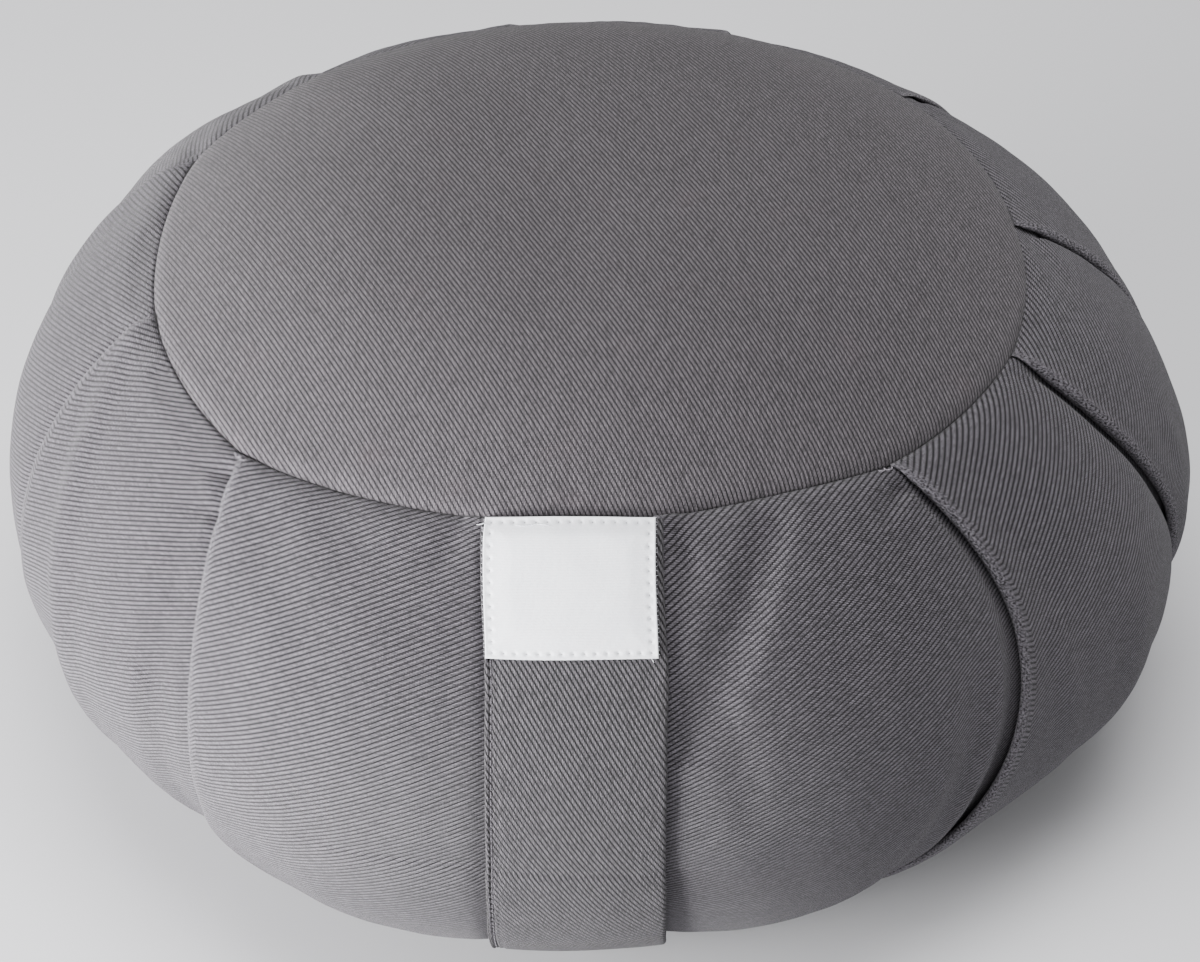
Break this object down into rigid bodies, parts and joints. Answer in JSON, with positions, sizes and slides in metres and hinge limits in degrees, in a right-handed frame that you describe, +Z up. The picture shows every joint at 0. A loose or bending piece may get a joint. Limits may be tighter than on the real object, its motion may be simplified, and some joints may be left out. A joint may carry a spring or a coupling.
{
  "type": "zafu meditation cushion",
  "caption": "Round pleated meditation cushion: filled side band between two round panels, flat carry strap and bare sewn label.",
  "frame": {"origin": "on the floor, under the middle of the cushion", "axes": "+Z up through the crown; -Y is the side with the strap and label; +X to the right, facing the strap"},
  "size_m": [0.3613, 0.3622, 0.1818],
  "materials": {
    "band_twill": "matt cotton twill, charcoal grey",
    "panel_twill": "matt cotton twill, charcoal grey",
    "strap_twill": "matt cotton twill, charcoal grey, folded and topstitched",
    "label_satin": "woven satin, white, soft sheen"
  },
  "bodies": {
    "root": {"filled_cushion": "band_twill", "top_panel": "panel_twill", "bottom_panel": "panel_twill", "carry_strap": "strap_twill", "sewn_label": "label_satin"}
  },
  "joints": []
}
